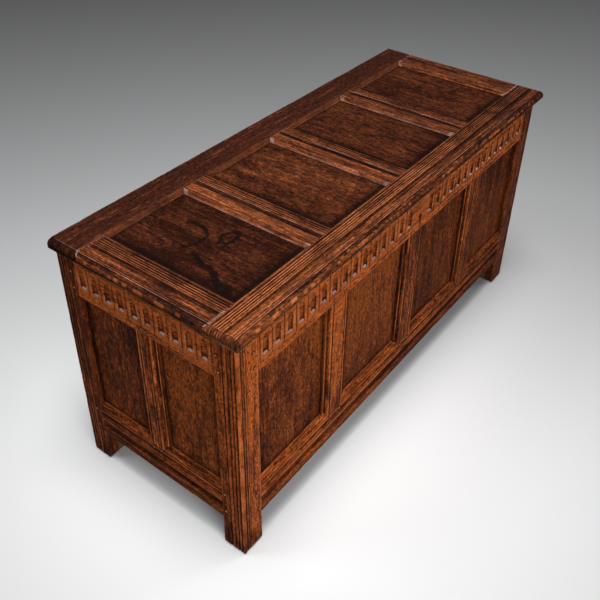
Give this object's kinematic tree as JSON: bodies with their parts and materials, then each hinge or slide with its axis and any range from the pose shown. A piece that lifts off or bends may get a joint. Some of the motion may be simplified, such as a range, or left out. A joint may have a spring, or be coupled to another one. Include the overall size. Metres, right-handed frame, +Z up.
{
  "type": "wooden coffer",
  "caption": "Joined oak coffer with recessed panels, carved fluted frieze and stile feet; the panelled lid lifts on wire hinges and locks by a sliding bolt behind the keyhole.",
  "frame": {"origin": "on the floor, under the middle of the whole object's box", "axes": "+Z up; X along the length; the carved front with the keyhole faces -Y"},
  "size_m": [1.35, 0.5278, 0.6676],
  "materials": {
    "frame": "waxed dark oak, worn arrises",
    "panel": "waxed dark oak panel",
    "inner": "bare oak, dry",
    "iron": "blackened wrought iron"
  },
  "bodies": {
    "carcass": {"bottom_board_1": "inner", "bottom_board_2": "inner", "bottom_board_3": "inner", "bottom_board_4": "inner", "bottom_board_5": "inner", "front_bottom_rail": "frame", "front_muntin_1": "frame", "front_muntin_2": "frame", "front_muntin_3": "frame", "front_panel_1": "panel", "front_panel_2": "panel", "front_panel_3": "panel", "front_panel_4": "panel", "front_top_rail": "frame", "hinge_left_carcass_eye": "iron", "hinge_right_carcass_eye": "iron", "left_bottom_rail": "frame", "left_muntin": "frame", "left_panel_1": "panel", "left_panel_2": "panel", "left_top_rail": "frame", "lock_case": "iron", "lock_plate": "iron", "rear_bottom_rail": "frame", "rear_muntin_1": "frame", "rear_muntin_2": "frame", "rear_muntin_3": "frame", "rear_panel_1": "panel", "rear_panel_2": "panel", "rear_panel_3": "panel", "rear_panel_4": "panel", "rear_top_rail": "frame", "right_bottom_rail": "frame", "right_muntin": "frame", "right_panel_1": "panel", "right_panel_2": "panel", "right_top_rail": "frame", "stile_front_left": "frame", "stile_front_right": "frame", "stile_rear_left": "frame", "stile_rear_right": "frame"},
    "lid": {"hinge_left_lid_eye": "iron", "hinge_right_lid_eye": "iron", "lid_front_rail": "frame", "lid_left_stile": "frame", "lid_muntin_1": "frame", "lid_muntin_2": "frame", "lid_muntin_3": "frame", "lid_panel_1": "panel", "lid_panel_2": "panel", "lid_panel_3": "panel", "lid_panel_4": "panel", "lid_rear_rail": "frame", "lid_right_stile": "frame", "lid_staple": "iron"},
    "lock_bolt": {"lock_bolt": "iron"}
  },
  "joints": [
    {"name": "lid_hinge", "type": "hinge", "parent": "carcass", "child": "lid", "pos_m": [0, 0.2571, 0.64515], "axis": [-1, 0, 0], "range_deg": [0, 100]},
    {"name": "lock_bolt_slide", "type": "slide", "parent": "carcass", "child": "lock_bolt", "axis": [1, 0, 0], "range_m": [0, 0.016]}
  ]
}
